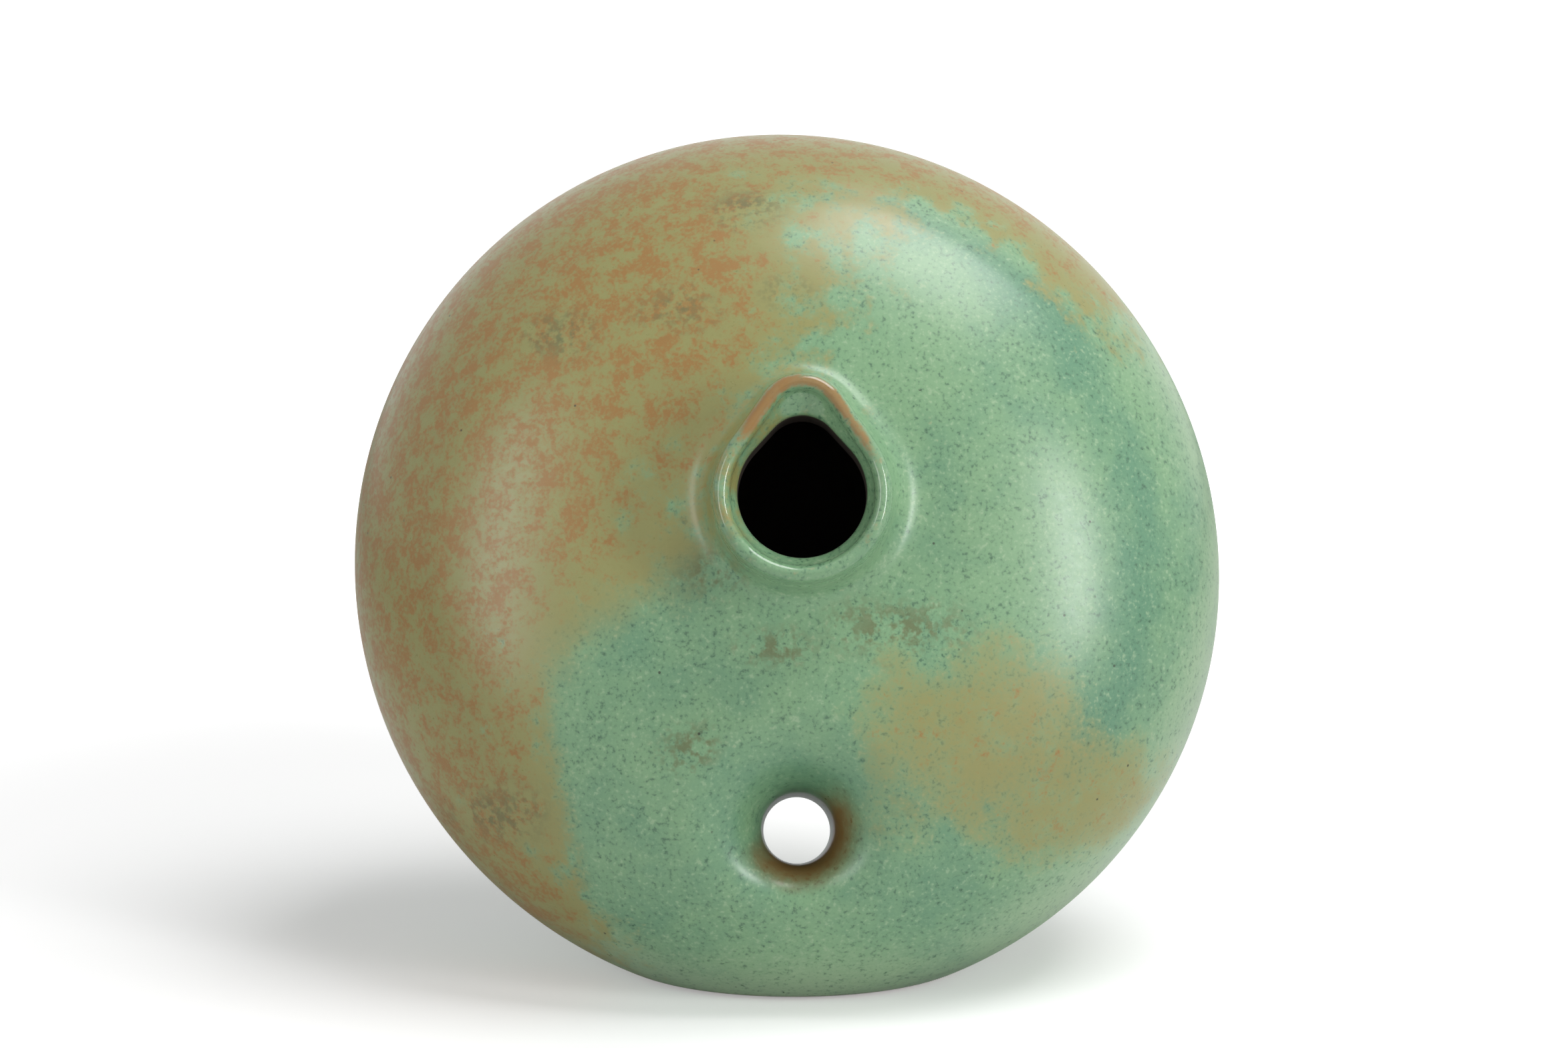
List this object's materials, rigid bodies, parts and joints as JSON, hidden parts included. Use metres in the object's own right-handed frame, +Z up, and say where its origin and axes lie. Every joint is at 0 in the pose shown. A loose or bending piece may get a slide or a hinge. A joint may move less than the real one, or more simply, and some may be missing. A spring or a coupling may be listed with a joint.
{
  "type": "pilgrim flask",
  "caption": "Round cushion-shaped stoneware flask that stands on its flattened edge, with a pinched pouring neck on the front face and a finger tube through the body below it.",
  "frame": {"origin": "on the ground under the middle of the round body, on the flattened standing face", "axes": "+Z up as it stands, -Y out of the front face where the neck is, +X to the right seen from the front"},
  "size_m": [0.25, 0.1785, 0.2365],
  "materials": {
    "mottled_green_glaze": "satin matt copper-green glaze, mottled with rust brown and finely speckled",
    "neck_glaze": "the same green glaze, pooled glossy on the lip and broken to rust brown on its edges",
    "tube_glaze": "the same green glaze, broken to amber brown on the funnel's edge",
    "foot_clay": "green glaze to the edge, bare toasted stoneware on the wiped standing face",
    "bare_clay": "unglazed dark stoneware inside the body"
  },
  "bodies": {
    "root": {"front_shell": "mottled_green_glaze", "back_shell": "mottled_green_glaze", "seam_coil": "bare_clay", "base_slab": "foot_clay", "neck": "neck_glaze", "finger_tube": "tube_glaze"}
  },
  "joints": []
}
